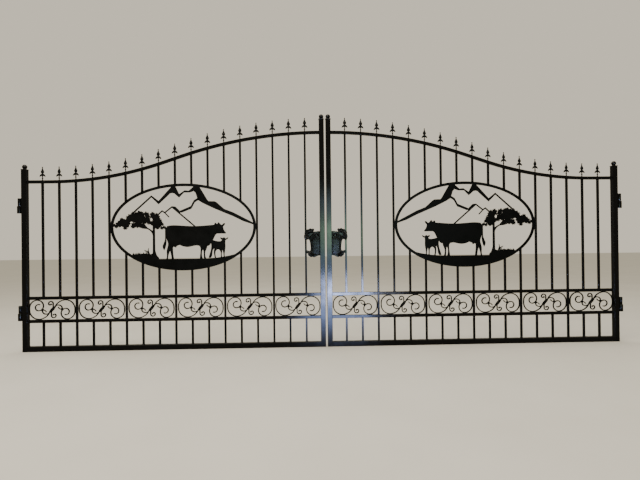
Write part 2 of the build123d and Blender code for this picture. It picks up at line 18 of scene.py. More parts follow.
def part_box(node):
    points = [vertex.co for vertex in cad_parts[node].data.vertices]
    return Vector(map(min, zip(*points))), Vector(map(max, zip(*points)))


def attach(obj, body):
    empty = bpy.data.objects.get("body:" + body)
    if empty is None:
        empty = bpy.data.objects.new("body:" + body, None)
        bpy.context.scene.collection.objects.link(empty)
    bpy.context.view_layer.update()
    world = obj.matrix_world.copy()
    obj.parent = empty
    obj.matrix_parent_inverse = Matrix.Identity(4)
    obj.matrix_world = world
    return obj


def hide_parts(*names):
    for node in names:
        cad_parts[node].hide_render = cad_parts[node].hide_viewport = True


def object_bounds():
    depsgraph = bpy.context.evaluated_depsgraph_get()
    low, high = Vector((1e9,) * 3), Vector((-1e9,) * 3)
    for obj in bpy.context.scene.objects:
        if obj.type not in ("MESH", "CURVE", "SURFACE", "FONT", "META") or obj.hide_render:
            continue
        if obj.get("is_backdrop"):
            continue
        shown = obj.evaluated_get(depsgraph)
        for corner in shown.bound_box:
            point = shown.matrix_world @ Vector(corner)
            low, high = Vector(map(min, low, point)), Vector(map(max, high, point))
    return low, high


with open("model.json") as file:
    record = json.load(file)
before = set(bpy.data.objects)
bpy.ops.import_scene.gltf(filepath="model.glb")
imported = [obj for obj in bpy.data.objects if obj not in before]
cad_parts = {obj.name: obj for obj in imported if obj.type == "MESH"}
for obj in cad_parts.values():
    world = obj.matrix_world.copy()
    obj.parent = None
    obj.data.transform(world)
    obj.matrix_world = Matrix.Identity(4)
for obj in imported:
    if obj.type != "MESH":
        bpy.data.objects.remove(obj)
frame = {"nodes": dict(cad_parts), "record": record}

cad_low, cad_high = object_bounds()
nodes = frame["nodes"]
print("CAD box", [round(v, 3) for v in (*cad_low, *cad_high)], "nodes", len(nodes))

# %% [markdown]
# ## The camera
# The camera stands where the photograph was taken. Placed by eye it would be some pixels off, so
# its place was found from the bars themselves: the pickets are evenly spaced, and the way their
# spacing shrinks across the picture gives the distance and the small turn of the lens. It is
# measured from the middle of the gate and from its underside, so it stays right if the CAD origin
# moves.

# %% Camera
gate_middle_x = (cad_low.x + cad_high.x) / 2
gate_underside = cad_low.z
# Metres to the right of the gate's middle, in front of it and above its foot.
lens_right, lens_front, lens_height = -0.2143, 4.8329, 1.0537
camera_place = Vector((gate_middle_x + lens_right, -lens_front, gate_underside + lens_height))
turn, tilt, roll = (math.radians(a) for a in (-1.842, 0.217, 0.644))

# A common wide lens: 27 mm on a frame that is 36 mm wide.
camera_data = bpy.data.cameras.new("gate_camera")
camera_data.sensor_width = 36
camera_data.lens = 27
camera = bpy.data.objects.new("gate_camera", camera_data)
upright = Matrix.Rotation(math.radians(90), 3, "X")
facing = (Matrix.Rotation(turn, 3, "Z") @ Matrix.Rotation(tilt, 3, "X")
          @ Matrix.Rotation(roll, 3, "Y") @ upright)
camera.matrix_world = Matrix.Translation(camera_place) @ facing.to_4x4()
bpy.context.scene.collection.objects.link(camera)
bpy.context.scene.camera = camera
print("camera", [round(v, 3) for v in camera_place])

# %% [markdown]
# ## Colours and nodes
# Colours are written as they look on a screen, in hex. Blender mixes light in linear values, so
# one function turns each hex colour into those. Another adds a shader node, sets its properties
# and joins its inputs, so that a material reads as a short list of steps.

# %% Colours
def linear(hex_colour):
    """Linear colour with alpha for a screen colour such as '#101214'."""
    made = []
    for k in (1, 3, 5):
        share = int(hex_colour[k:k + 2], 16) / 255
        made.append(share / 12.92 if share <= 0.04045 else ((share + 0.055) / 1.055) ** 2.4)
    return (*made, 1.0)


print("half grey on a screen is", round(linear("#808080")[0], 3), "in linear light")

# %% Nodes
millimetre = 0.001


def add_node(tree, kind, inputs=None, **settings):
    """Add a node. An input is a value, or the output socket that feeds it."""
    node = tree.nodes.new(kind)
    for name, value in settings.items():
        setattr(node, name, value)
    for name, value in (inputs or {}).items():
        socket = node.inputs[name]
        if isinstance(value, bpy.types.NodeSocket):
            tree.links.new(value, socket)
        else:
            socket.default_value = value
    return node


def per_metre(size_mm):
    """Scale of a noise texture whose features are about this many millimetres across."""
    return 1000 / size_mm


def new_material(name):
    """An empty node material and its node tree."""
    material = bpy.data.materials.new(name)
    material.use_nodes = True
    material.node_tree.nodes.clear()
    return material, material.node_tree


def finish_surface(tree, surface_node):
    """Show a shader on the surface."""
    output = tree.nodes.new("ShaderNodeOutputMaterial")
    tree.links.new(surface_node.outputs[0], output.inputs["Surface"])


print("noise with 10 mm features has scale", per_metre(10))

# %% [markdown]
# ## Gloss black powder coat
# Powder coat is a plastic powder that is melted onto the steel. It is glossy but not as flat as
# lacquer: it flows into a faint orange peel. The real bumps are about 2 mm across, finer than a
# dot of the picture, so they are drawn coarser to show at all: 10 mm across on the tubes, and
# 3 to 8 mm on the smaller pieces. Plain black would do from afar, but a gate that was stored in a
# yard also carries a film of dust. It takes the shine off in patches and lies thickest on faces
# that look up, so the colour and the roughness come from two noises and the direction of the face.

# %% Powder coat
dull_patch_mm, dust_speck_mm = 180, 9
dust_colour = "#8f887c"


def powder_coat(name, colour, roughness, shine, peel_mm, peel_height, dust):
    """Black plastic coat. The peel is in mm, and dust is the largest share that it covers."""
    material, tree = new_material(name)
    place = add_node(tree, "ShaderNodeTexCoord").outputs["Object"]
    cloud = add_node(tree, "ShaderNodeTexNoise", {
        "Vector": place, "Scale": per_metre(dull_patch_mm), "Detail": 4.0, "Roughness": 0.6})
    rough = add_node(tree, "ShaderNodeMapRange", {
        "Value": cloud.outputs["Fac"], "From Min": 0.35, "From Max": 0.7,
        "To Min": roughness * 0.8, "To Max": roughness * 1.5})
    normal = add_node(tree, "ShaderNodeNewGeometry").outputs["Normal"]
    up = add_node(tree, "ShaderNodeSeparateXYZ", {"Vector": normal})
    settled = add_node(tree, "ShaderNodeMapRange", {
        "Value": up.outputs["Z"], "From Min": 0.3, "From Max": 1.0,
        "To Min": 0.15 * dust, "To Max": dust})
    speck = add_node(tree, "ShaderNodeTexNoise", {
        "Vector": place, "Scale": per_metre(dust_speck_mm), "Detail": 3.0})
    film = add_node(tree, "ShaderNodeMath", {
        0: settled.outputs["Result"], 1: speck.outputs["Fac"]}, operation="MULTIPLY")
    shade = add_node(tree, "ShaderNodeMix", {
        "Factor": film.outputs[0], "A": linear(colour), "B": linear(dust_colour)},
        data_type="RGBA")
    peel = add_node(tree, "ShaderNodeTexNoise", {
        "Vector": place, "Scale": per_metre(peel_mm), "Detail": 1.0})
    bump = add_node(tree, "ShaderNodeBump", {
        "Height": peel.outputs["Fac"], "Strength": 0.6, "Distance": peel_height * millimetre})
    paint = add_node(tree, "ShaderNodeBsdfPrincipled", {
        "Base Color": shade.outputs["Result"], "Roughness": rough.outputs["Result"],
        "Metallic": 0.0, "IOR": 1.5, "Specular IOR Level": shine, "Normal": bump.outputs["Normal"]})
    finish_surface(tree, paint)
    return material


print("dull patches", dull_patch_mm, "mm, specks of dust", dust_speck_mm, "mm")

# %% The coats of this gate
# Colour, roughness, shine, width and height of the peel, and dust.
tube_paint = powder_coat("gloss_black_powder_coat_on_tube", "#040506", 0.12, 0.3, 10, 0.04, 0.12)
bar_paint = powder_coat("satin_black_powder_coat_on_bar", "#030404", 0.5, 0.15, 6, 0.04, 0.1)
plate_paint = powder_coat("satin_black_powder_coat_on_plate", "#020303", 0.4, 0.2, 8, 0.04, 0.04)
cast_paint = powder_coat("gloss_black_powder_coat_on_cast_iron", "#050608", 0.2, 0.28, 3, 0.06, 0.1)
spear_paint = powder_coat("black_powder_coat_on_cast_spear", "#030404", 0.35, 0.2, 4, 0.08, 0.05)
coats = (tube_paint, bar_paint, plate_paint, cast_paint, spear_paint)
print("coats", *(coat.name for coat in coats))

# %% [markdown]
# ## Greased steel
# The hinge pins and washers are bare turned steel under a film of grease. Turning leaves fine
# rings, 0.2 mm apart. Drawn rings could follow each pin, but a noise that is squeezed along it
# serves every pin and washer at once. Its rings are 0.5 mm apart, coarser than the real ones, so
# that they show in a close view. The grease darkens the steel in blots and makes it smoother.

# %% Pin steel
ring_length_mm, ring_squeeze, blot_mm = 6, 12, 14


def greased_steel(name):
    """Turned steel with fine rings and blots of grease."""
    material, tree = new_material(name)
    place = add_node(tree, "ShaderNodeTexCoord").outputs["Object"]
    stretched = add_node(tree, "ShaderNodeMapping", {
        "Vector": place, "Scale": (1, 1, ring_squeeze)})
    rings = add_node(tree, "ShaderNodeTexNoise", {
        "Vector": stretched.outputs["Vector"], "Scale": per_metre(ring_length_mm), "Detail": 2.0})
    blots = add_node(tree, "ShaderNodeTexNoise", {
        "Vector": place, "Scale": per_metre(blot_mm), "Detail": 3.0})
    shade = add_node(tree, "ShaderNodeMix", {
        "Factor": blots.outputs["Fac"], "A": linear("#8c8984"), "B": linear("#3b3426")},
        data_type="RGBA")
    rough = add_node(tree, "ShaderNodeMapRange", {
        "Value": blots.outputs["Fac"], "To Min": 0.45, "To Max": 0.18})
    bump = add_node(tree, "ShaderNodeBump", {
        "Height": rings.outputs["Fac"], "Strength": 0.3, "Distance": 0.05 * millimetre})
    steel = add_node(tree, "ShaderNodeBsdfPrincipled", {
        "Base Color": shade.outputs["Result"], "Roughness": rough.outputs["Result"],
        "Metallic": 1.0, "Normal": bump.outputs["Normal"]})
    finish_surface(tree, steel)
    return material


pin_steel = greased_steel("greased_turned_steel")
print("pins and washers", pin_steel.name)

# %% Give every solid its material
paint_of_slot = {
    "frame_tube": tube_paint, "picket_tube": tube_paint, "scroll_bar": bar_paint,
    "casting": cast_paint, "pressed_cap": tube_paint, "cut_plate": plate_paint,
    "hinge_steel": tube_paint, "pin_steel": pin_steel,
}
slot_of_node = {row["node"]: row["material_slot"] for row in frame["record"]["subparts"]}
for name, solid in nodes.items():
    solid.data.materials.clear()
    solid.data.materials.append(paint_of_slot[slot_of_node[name]])
print("painted", len(nodes), "solids")

# %% [markdown]
# ## Rounded edges
# Square tube is rolled from strip, so its corners are round: about 2 mm on a 50 mm tube and a
# little over 1 mm on a 20 mm one. The round corner is what draws the thin bright line along every
# bar. It could be cut into the solids, but modifiers leave the CAD mesh as it is: a Weld first
# joins the corner points that the file keeps apart for each face, and a Bevel then rounds every
# sharp edge. Cast and pressed pieces get a smaller radius, and the cut plate only a broken edge.

# %% Bevels
same_point = 0.01 * millimetre
corner_radius = {
    "frame_tube": 2.0, "picket_tube": 1.2, "scroll_bar": 1.0, "casting": 0.8,
    "pressed_cap": 0.8, "cut_plate": 0.4, "hinge_steel": 0.6, "pin_steel": 0.4,
}


def round_edges(solid, radius_mm):
    """Join the corner points of a solid and round its sharp edges."""
    weld = solid.modifiers.new("join_corner_points", "WELD")
    weld.merge_threshold = same_point
    bevel = solid.modifiers.new("rounded_edges", "BEVEL")
    bevel.width = radius_mm * millimetre
    bevel.segments = 2
    bevel.limit_method = "ANGLE"
    bevel.angle_limit = math.radians(40)
    bevel.harden_normals = True


for name, solid in nodes.items():
    round_edges(solid, corner_radius[slot_of_node[name]])
print("rounded", len(nodes), "solids")

# %% [markdown]
# ## Weld beads
# Every bar of the real gate ends in a weld, and under the paint it shows as a small lumpy roll
# in the corner. A bump map could hint at it, but a bead is laid drop by drop, so here it is a
# thin loft, rings that are joined one to the next, which swells once for each drop. The ends of
# the bars are read from the CAD mesh: it is split into its separate pieces, and the four outer
# corners of each end give the four sides to weld.

# %% Read the separate pieces of a solid
def pieces_of(node):
    """The corner points of each separate piece of a node, from left to right."""
    mesh = bmesh.new()
    mesh.from_mesh(nodes[node].data)
    bmesh.ops.remove_doubles(mesh, verts=mesh.verts, dist=same_point)
    unseen = set(mesh.verts)
    made = []
    while unseen:
        found = [unseen.pop()]
        for vert in found:
            for edge in vert.link_edges:
                other = edge.other_vert(vert)
                if other in unseen:
                    unseen.remove(other)
                    found.append(other)
        made.append([vert.co.copy() for vert in found])
    mesh.free()
    return sorted(made, key=lambda points: min(p.x for p in points))


kick_pickets = pieces_of("left_kick_pickets")
print("pieces of the kick pickets", len(kick_pickets))

# %% Find the corners of a bar's end
close_by = 0.1 * millimetre


def end_corners(points, axis, upper):
    """Four outer corners, in order, of one end of a bar that runs along axis 0 or 2."""
    across = [k for k in range(3) if k != axis]
    low = [min(p[k] for p in points) for k in across]
    high = [max(p[k] for p in points) for k in across]
    if axis == 0:
        edge = (max if upper else min)(p.x for p in points)
        points = [p for p in points if abs(p.x - edge) < close_by]
        low[1], high[1] = min(p.z for p in points), max(p.z for p in points)
    corners = []
    for a, b in ((low[0], low[1]), (high[0], low[1]), (high[0], high[1]), (low[0], high[1])):
        def miss(p):
            return abs(p[across[0]] - a) + abs(p[across[1]] - b)
        nearest = min(miss(p) for p in points)
        column = [p for p in points if miss(p) < nearest + close_by]
        corners.append((max if upper else min)(column, key=lambda p: p[axis]))
    return corners


foot = end_corners(kick_pickets[0], 2, False)
print("a kick picket is", round((foot[1] - foot[0]).length / millimetre, 1), "mm wide")

# %% Loft through rings
def ring_points(middle, wide, deep, squareness, count=16):
    """One closed ring: an ellipse at squareness 2, a diamond at 1, and nearly square at 12."""
    made = []
    for k in range(count):
        c, s = math.cos(2 * math.pi * k / count), math.sin(2 * math.pi * k / count)
        reach = (abs(c) ** squareness + abs(s) ** squareness) ** (-1 / squareness)
        made.append(middle + wide * (c * reach) + deep * (s * reach))
    return made


def add_loft(mesh, sections):
    """Join closed rings, given from one end to the other, and close both ends."""
    rings = [[mesh.verts.new(p) for p in section] for section in sections]
    count = len(rings[0])
    for ring, following in zip(rings, rings[1:]):
        for a in range(count):
            b = (a + 1) % count
            mesh.faces.new((ring[a], ring[b], following[b], following[a]))
    mesh.faces.new(rings[0][::-1])
    mesh.faces.new(rings[-1])


print("points of a round ring", len(ring_points(Vector(), Vector((1, 0, 0)),
                                                Vector((0, 1, 0)), 2)))

# %% Lay a bead
# The length of a drop, the thickness between two drops and at both ends of a bead, and the depth
# that its corners are sunk in the bar, all as shares of the bead's radius.
drop_share, valley_share, end_share, sunk_share = 1.1, 0.8, 0.4, 0.4


def lay_bead(mesh, start, end, size_mm):
    """Add a weld bead along a straight seam, with one swelling for each drop of metal."""
    along = end - start
    size = size_mm * millimetre
    drops = max(3, round(along.length / (drop_share * size)))
    side = along.orthogonal().normalized()
    other = along.normalized().cross(side)
    sections = []
    for k in range(2 * drops + 1):
        swell = size if k % 2 else valley_share * size
        if k in (0, 2 * drops):
            swell = end_share * size
        sections.append(ring_points(start + along * k / (2 * drops), swell * side,
                                    swell * other, 2, 6))
    add_loft(mesh, sections)


def weld_round(mesh, corners, size_mm):
    """Weld the four sides of a bar's end, half sunk into its edges."""
    middle = sum(corners, Vector()) / len(corners)
    inset = [c + (middle - c).normalized() * sunk_share * size_mm * millimetre for c in corners]
    for k, start in enumerate(inset):
        lay_bead(mesh, start, inset[(k + 1) % len(inset)], size_mm)


print("a drop of weld is", drop_share, "times as long as the bead's radius")

# %% Turn a mesh into a piece
def new_piece(name, mesh, body, slot):
    """Turn a bmesh into a shaded object that rides on a body."""
    data = bpy.data.meshes.new(name)
    mesh.normal_update()
    mesh.to_mesh(data)
    mesh.free()
    data.shade_smooth()
    data.materials.append(paint_of_slot[slot])
    piece = bpy.data.objects.new(name, data)
    bpy.context.scene.collection.objects.link(piece)
    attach(piece, body)
    return piece


print("finishes", *paint_of_slot)

# %% Weld the pickets and rails
bar_bead = 2.4
# The nodes whose bars run along axis 2, upright, and along axis 0, across.
welded_nodes = {
    2: ("kick_pickets", "band_dividers", "outer_pickets", "inner_pickets",
        "upper_oval_pickets", "lower_oval_pickets"),
    0: ("band_lower_rail", "band_upper_rail", "top_rail"),
}

for side in ("left", "right"):
    beads = bmesh.new()
    for axis, names in welded_nodes.items():
        for node in names:
            for points in pieces_of(side + "_" + node):
                for upper in (False, True):
                    weld_round(beads, end_corners(points, axis, upper), bar_bead)
    welds = new_piece(side + "_bar_welds", beads, side + "_leaf", "frame_tube")
    print(welds.name, len(welds.data.polygons), "faces")

# %% [markdown]
# ## Corner and hinge welds
# The stiles and the bottom rail are the same tube, and the photograph shows their corners cut at
# 45 degrees: a bright bead runs from the inner corner down to the outer one. A groove could show
# the cut, but the bead is what catches the light, so it is laid on the front and on the back.
# Each hinge's upper half is welded to the stile down both sides of its flat.

# %% Weld the corners and the hinges
corner_bead, hinge_bead = 2.6, 2.4

for side in ("left", "right"):
    beads = bmesh.new()
    rail_low, rail_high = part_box(side + "_bottom_rail")
    for stile in ("_hinge_stile", "_meeting_stile"):
        low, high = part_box(side + stile)
        leftmost = low.x < rail_low.x
        inner, outer = (high.x, low.x) if leftmost else (low.x, high.x)
        foot = low.z + corner_bead * millimetre
        outer += corner_bead * millimetre * (1 if leftmost else -1)
        for y in (low.y, high.y):
            lay_bead(beads, Vector((inner, y, rail_high.z)), Vector((outer, y, foot)), corner_bead)
        lay_bead(beads, Vector((inner, low.y, rail_high.z)), Vector((inner, high.y, rail_high.z)),
                 corner_bead)
    for points in pieces_of(side + "_hinge_knuckles"):
        x = (max if side == "left" else min)(p.x for p in points)
        edge = [p for p in points if abs(p.x - x) < close_by]
        z0, z1 = min(p.z for p in edge), max(p.z for p in edge)
        for y in (min(p.y for p in edge), max(p.y for p in edge)):
            lay_bead(beads, Vector((x, y, z0)), Vector((x, y, z1)), hinge_bead)
    welds = new_piece(side + "_corner_welds", beads, side + "_leaf", "frame_tube")
    print(welds.name, len(welds.data.polygons), "faces")

# %% [markdown]
# ## Cast spears
# Each picket ends in a small iron casting: a ball foot, two drooping barbs, a four-sided bud and
# a ball tip. Castings like this could be sculpted, but their sections are simple all the way up,
# so each one is lofted like the beads. A list gives the height, the half widths and the
# squareness of each section. The barbs are a second loft along a drooping line.

# %% Sections of a spear
def ball_sections(z, radius):
    """Heights and radii that turn one stretch of a loft into a ball."""
    angles = [math.radians(a) for a in (-62, -35, -10, 15, 40, 65)]
    return [(z + radius * math.sin(a), radius * math.cos(a), radius * math.cos(a), 2)
            for a in angles]


# Height over the rail, half width, half depth and squareness, in millimetres.
spear_sections = ([(-3, 5.5, 5.5, 2), (12, 5.2, 5.2, 2)] + ball_sections(22, 8)
                  + [(32, 5.0, 5.0, 2), (52, 5.2, 5.2, 2), (60, 7.4, 6.2, 1.6),
                     (66, 7.4, 6.0, 1.4), (71, 11.0, 7.0, 1.2), (77, 15.6, 7.5, 1.1),
                     (83, 17.2, 7.5, 1.1), (90, 16.0, 7.2, 1.1), (98, 12.6, 6.6, 1.1),
                     (107, 8.6, 5.6, 1.2), (115, 5.6, 4.6, 1.5), (120, 4.4, 4.4, 2)]
                  + ball_sections(130, 6))
# Distance from the stem, height, and the two half thicknesses along one drooping barb.
barb_sections = [(0, 57, 11, 4.5), (8, 55, 11, 4.5), (15, 51, 9.5, 4.3), (21, 45.5, 7.5, 3.8),
                 (25.5, 40.5, 4.8, 2.8), (28.4, 36.0, 1.2, 1.0)]
spear_top, barb_corners = 136, 12
print("spear sections", len(spear_sections), "barb sections", len(barb_sections))

# %% Model the spears of both leaves
east, inward, upward = Vector((1, 0, 0)), Vector((0, 1, 0)), Vector((0, 0, 1))


def add_spear(mesh, foot):
    """Loft one spear with its two barbs over a place on the rail."""
    add_loft(mesh, [ring_points(foot + z * millimetre * upward, a * millimetre * east,
                                b * millimetre * inward, n)
                    for z, a, b, n in spear_sections])
    for way in (-1, 1):
        places = [foot + millimetre * (way * x * east + z * upward)
                  for x, z, _, _ in barb_sections]
        rings = []
        for k, (_, _, broad, thick) in enumerate(barb_sections):
            run = (places[min(k + 1, len(places) - 1)] - places[max(k - 1, 0)]).normalized()
            across = run.cross(inward)
            rings.append(ring_points(places[k], broad * millimetre * across,
                                     thick * millimetre * inward, 2, barb_corners))
        add_loft(mesh, rings)


for side in ("left", "right"):
    spears = bmesh.new()
    for points in pieces_of(side + "_spear_finials"):
        tip = max(p.z for p in points)
        x = (min(p.x for p in points) + max(p.x for p in points)) / 2
        y = (min(p.y for p in points) + max(p.y for p in points)) / 2
        foot = Vector((x, y, tip - spear_top * millimetre))
        add_spear(spears, foot)
    bmesh.ops.recalc_face_normals(spears, faces=spears.faces)
    castings = new_piece(side + "_cast_spears", spears, side + "_leaf", "casting")
    castings.data.materials[0] = spear_paint
    castings.data.set_sharp_from_angle(angle=math.radians(50))
    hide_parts(side + "_spear_finials")
    print(castings.name, len(castings.data.polygons), "faces")

# %% [markdown]
# ## Collars and tacks of the scrolls
# Where two bars of a scroll run side by side, the smith folds a short hot strap round both. The
# photograph shows these collars as three dark knots in each panel: one in the middle and one
# where each stem meets the back of its volute. A box with round edges could stand in, but a loft
# also gives the groove between the two turns of the strap. Each panel is held by small tack welds
# where it touches the rails.

# %% Shape of a collar
# Place along the collar as a share of half its length, and how full the strap is there.
collar_profile = [(-1.0, 0.82), (-0.86, 1.0), (-0.12, 1.0), (0.0, 0.88), (0.12, 1.0), (0.86, 1.0),
                  (1.0, 0.82)]
# Half length, half width and half depth of the collar in the middle and of those on the stems.
middle_collar, stem_collar = (19, 14.5, 7.5), (10, 11.5, 7)
collar_squareness = 5


def add_collar(mesh, middle, along, half_length, half_width, half_depth):
    """Fold one strap round a place."""
    across = along.cross(inward)
    add_loft(mesh, [ring_points(middle + share * half_length * millimetre * along,
                                full * half_width * millimetre * across,
                                full * half_depth * millimetre * inward, collar_squareness)
                    for share, full in collar_profile])


print("sections of a collar", len(collar_profile))

# %% Places for tacks
scroll_bar = 10
tack_length, tack_size = 12, 2.2


def touching_places(points, z):
    """Middles of the stretches of a panel that lie at one height."""
    xs = sorted(p.x for p in points if abs(p.z - z) < 0.3 * millimetre)
    groups = [[xs[0]]]
    for x in xs[1:]:
        if x - groups[-1][-1] > 4 * scroll_bar * millimetre:
            groups.append([])
        groups[-1].append(x)
    return [(g[0] + g[-1]) / 2 for g in groups]


panel = pieces_of("left_scroll_panels")[0]
print("a panel touches its upper rail in", len(touching_places(panel, max(p.z for p in panel))),
      "places")

# %% Add collars and tacks
collar_lean = math.radians(47)
lean = math.cos(collar_lean) * east + math.sin(collar_lean) * upward
# The width of a volute in half heights of the panel, and how many mm its collar stands off the
# volute's back and off the middle line of the panel.
volute_width, off_back, off_middle = 1.43, 9, 2

for side in ("left", "right"):
    fixings = bmesh.new()
    for points in pieces_of(side + "_scroll_panels"):
        low = Vector([min(p[k] for p in points) for k in range(3)])
        high = Vector([max(p[k] for p in points) for k in range(3)])
        middle = (low + high) / 2
        reach = (high.x - low.x) / 2 - scroll_bar / 2 * millimetre
        rise = (high.z - low.z) / 2 - scroll_bar / 2 * millimetre
        add_collar(fixings, middle, lean, *middle_collar)
        for way in (-1, 1):
            knot = middle + way * ((reach - volute_width * rise + off_back * millimetre) * east
                                   + off_middle * millimetre * upward)
            add_collar(fixings, knot, upward, *stem_collar)
        for z in (low.z, high.z):
            for x in touching_places(points, z):
                for y in (low.y, high.y):
                    tack, half = Vector((x, y, z)), tack_length / 2 * millimetre * east
                    lay_bead(fixings, tack - half, tack + half, tack_size)
    bmesh.ops.recalc_face_normals(fixings, faces=fixings.faces)
    collars = new_piece(side + "_scroll_collars", fixings, side + "_leaf", "scroll_bar")
    collars.data.set_sharp_from_angle(angle=math.radians(50))
    print(collars.name, len(collars.data.polygons), "faces")

# %% [markdown]
# ## Foot plates
# A thin plate closes the open foot of every stile, so that rain and sand stay out of the tube.
# A plain box would do, but a loft of nearly square rings also gives the plate the round corners
# of the tube and a small bevel below.

# %% Close the feet of the stiles
plate_reach, plate_thickness, plate_bevel, plate_sink = 23.0, 3.0, 0.6, 0.3
for side in ("left", "right"):
    plates = bmesh.new()
    for stile in ("_hinge_stile", "_meeting_stile"):
        low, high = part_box(side + stile)
        centre = Vector(((low.x + high.x) / 2, (low.y + high.y) / 2, low.z))
        add_loft(plates, [ring_points(centre + z * millimetre * upward,
                                      reach * millimetre * east, reach * millimetre * inward, 12)
                          for z, reach in ((plate_sink, plate_reach - plate_bevel),
                                           (plate_sink + plate_bevel, plate_reach),
                                           (plate_thickness, plate_reach))])
    bmesh.ops.recalc_face_normals(plates, faces=plates.faces)
    plate = new_piece(side + "_foot_plates", plates, side + "_leaf", "frame_tube")
    plate.data.set_sharp_from_angle(angle=math.radians(40))
    print(plate.name, len(plate.data.polygons), "faces")

# %% [markdown]
# ## Leafy tree of the farm scene
# The tree is cut from the same plate as the rest of the scene. Its crown ends in many small
# pointed leaves, finer than the round clumps of the solid. Cutting them with booleans is slow
# and fragile, so each clump, leaf and branch is one small polygon here, and one triangulation
# joins them all into a flat sheet, which then gets the plate's thickness. It lies over the
# plate's own tree, a tenth of a millimetre proud of it at the front and the back.

# %% Leaves
# The scene is drawn in mm from the middle of an oval of this half width and half height.
drawn_half_width, drawn_half_height = 721, 435
leaf_pitch, leaf_width = 11, 10
# The solid middle of a clump and the roots of its leaves, as shares of its radius.
core_share, root_share = 0.72, 0.55


def off(x, z, angle, reach):
    """The place that lies so far from another in one direction."""
    return x + reach * math.cos(angle), z + reach * math.sin(angle)


def leaf(x, z, angle, length):
    """Pointed leaf that grows out of one place."""
    shape = []
    for along, aside in ((0, -0.3), (0.35, -1), (0.7, -0.7), (1, 0), (0.7, 0.7), (0.35, 1),
                         (0, 0.3)):
        out, across = along * length, aside * leaf_width / 2
        shape.append((x + out * math.cos(angle) - across * math.sin(angle),
                      z + out * math.sin(angle) + across * math.cos(angle)))
    return shape


print("points of a leaf", len(leaf(0, 0, 0, leaf_pitch)))

# %% Clumps and ribbons
def clump(x, z, radius):
    """Solid middle with leaves round it, which lean and reach a little differently."""
    core = core_share * radius
    shapes = [[off(x, z, math.radians(30 * k), core) for k in range(12)]]
    leaves = max(7, round(2 * math.pi * radius / leaf_pitch))
    for k in range(leaves):
        swing = math.sin(7.1 * k + x)
        angle = 2 * math.pi * k / leaves + 0.35 * swing
        shapes.append(leaf(*off(x, z, angle, root_share * radius),
                           angle + 0.5 * math.sin(3.3 * k + z),
                           (1 - root_share) * radius + 6 + 3 * swing))
    return shapes


def ribbon(points, widths):
    """Quads along a line that gets wider or narrower from point to point."""
    rims = []
    for k, ((x, z), width) in enumerate(zip(points, widths)):
        before, after = points[max(k - 1, 0)], points[min(k + 1, len(points) - 1)]
        run, rise = after[0] - before[0], after[1] - before[1]
        share = width / 2 / math.hypot(run, rise)
        rims.append(((x - rise * share, z + run * share), (x + rise * share, z - run * share)))
    return [[a[0], b[0], b[1], a[1]] for a, b in zip(rims, rims[1:])]


print("shapes of a clump 60 mm across", len(clump(0, 0, 30)))

# %% Polygons of the tree
# Each clump has its middle and its radius.
clump_places = [
    (-685, 22, 12), (-639, 39, 27), (-605, 62, 30), (-571, 56, 31), (-582, -1, 15),
    (-533, 99, 32), (-554, 14, 15), (-487, 118, 36), (-438, 129, 35), (-457, 88, 33),
    (-415, 73, 32), (-480, 22, 21), (-453, 19, 21), (-411, 14, 20), (-381, 4, 11),
    (-366, 129, 24), (-358, 80, 25), (-345, 49, 20), (-305, 131, 21), (-273, 110, 30),
    (-251, 86, 24), (-305, 39, 23), (-289, 69, 20), (-267, 22, 20), (-235, 62, 20),
    (-229, 29, 21), (-254, -1, 15), (-213, 26, 12), (-194, -2, 11)]
tree_shapes = [shape for place in clump_places for shape in clump(*place)]
tree_shapes += ribbon([(-298, -72), (-313, -40), (-347, -16), (-389, -2), (-434, 5)],
                      [16, 15, 13, 12, 11])
tree_shapes += ribbon([(-301, -4), (-292, 20), (-275, 47)], [12, 10, 8])
tree_shapes += ribbon([(-295, 12), (-295, -78), (-295, -228), (-292, -258), (-290, -300)],
                      [17, 21, 24, 32, 60])
# The cow's tail ends in a tuft, and the far ridge runs down to the near one.
tree_shapes.append([(-176, -112), (-195, -153), (-206, -189), (-195, -196), (-194, -230),
                    (-183, -209), (-174, -175), (-170, -138)])
tree_shapes += ribbon([(-8, 158), (-34, 150), (-54, 140)], [14, 14, 12])
# Tufts of grass, and a twig that stands in them.
tree_shapes += ribbon([(-340, -270), (-370, -238), (-391, -227)], [13, 9, 4])
tree_shapes += ribbon([(-357, -256), (-353, -228), (-346, -206)], [9, 7, 3])
grass_places = range(-506, -400, 12)
for k, x in enumerate(grass_places):
    reach = 16 + 7 * math.sin(2.3 * k)
    tree_shapes.append([(x - 6, -278), (x + 6, -278), (x + 5 * math.cos(1.9 * k), -272 + reach)])
print("tree", len(tree_shapes), "polygons")

# %% Join them and give them thickness
tree_points = [Vector(p) for shape in tree_shapes for p in shape]
tree_faces, first = [], 0
for shape in tree_shapes:
    tree_faces.append(list(range(first, first + len(shape))))
    first += len(shape)
# Output type 1 keeps only the triangles inside a polygon, all joined into one sheet. An edge that
# only one triangle uses is on the rim, and gets a side wall.
sheet_points, _, sheet_triangles, _, _, _ = delaunay_2d_cdt(tree_points, [], tree_faces, 1, 1e-3)
edge_uses = {}
for triangle in sheet_triangles:
    for a, b in zip(triangle, triangle[1:] + triangle[:1]):
        edge_uses.setdefault(frozenset((a, b)), []).append((a, b))
rim_runs = [uses[0] for uses in edge_uses.values() if len(uses) == 1]
proud = 0.1 * millimetre

